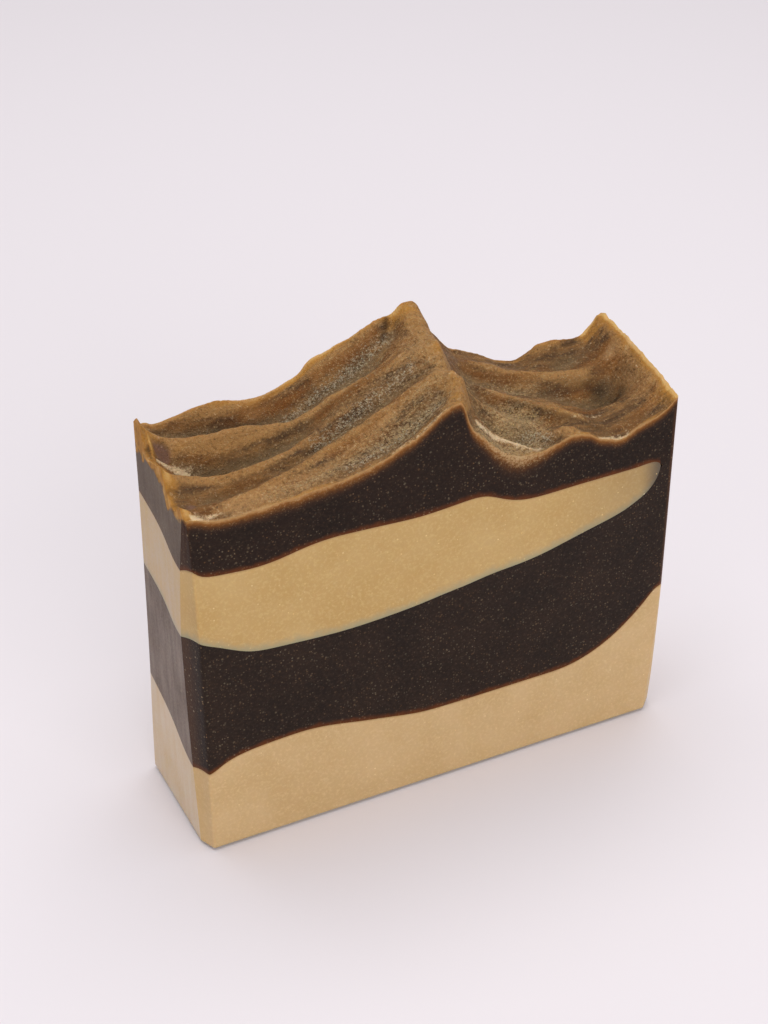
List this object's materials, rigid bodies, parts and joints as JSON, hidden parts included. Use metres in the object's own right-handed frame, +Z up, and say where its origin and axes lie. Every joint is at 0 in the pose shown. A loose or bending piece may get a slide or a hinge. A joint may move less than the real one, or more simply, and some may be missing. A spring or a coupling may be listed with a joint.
{
  "type": "bar of soap",
  "caption": "Standing slice of a hand-poured layered soap loaf, pale and dark pours meeting at sloping seams under a peaked, swirled top.",
  "frame": {"origin": "middle of the rectangle that encloses the foot, on the surface that the slice stands on", "axes": "+X across the cut face towards the right mould wall, +Y through the slice from the front cut face to the back one, +Z up towards the peaked top"},
  "size_m": [0.089, 0.0254, 0.0818],
  "materials": {
    "cream_soap": "waxy cut soap, satin",
    "dark_soap": "waxy dark soap with fine specks, satin, its raised top glossier"
  },
  "bodies": {
    "root": {"base_cream_pour": "cream_soap", "lower_dark_pour": "dark_soap", "upper_cream_pour": "cream_soap", "top_dark_pour": "dark_soap"}
  },
  "joints": []
}
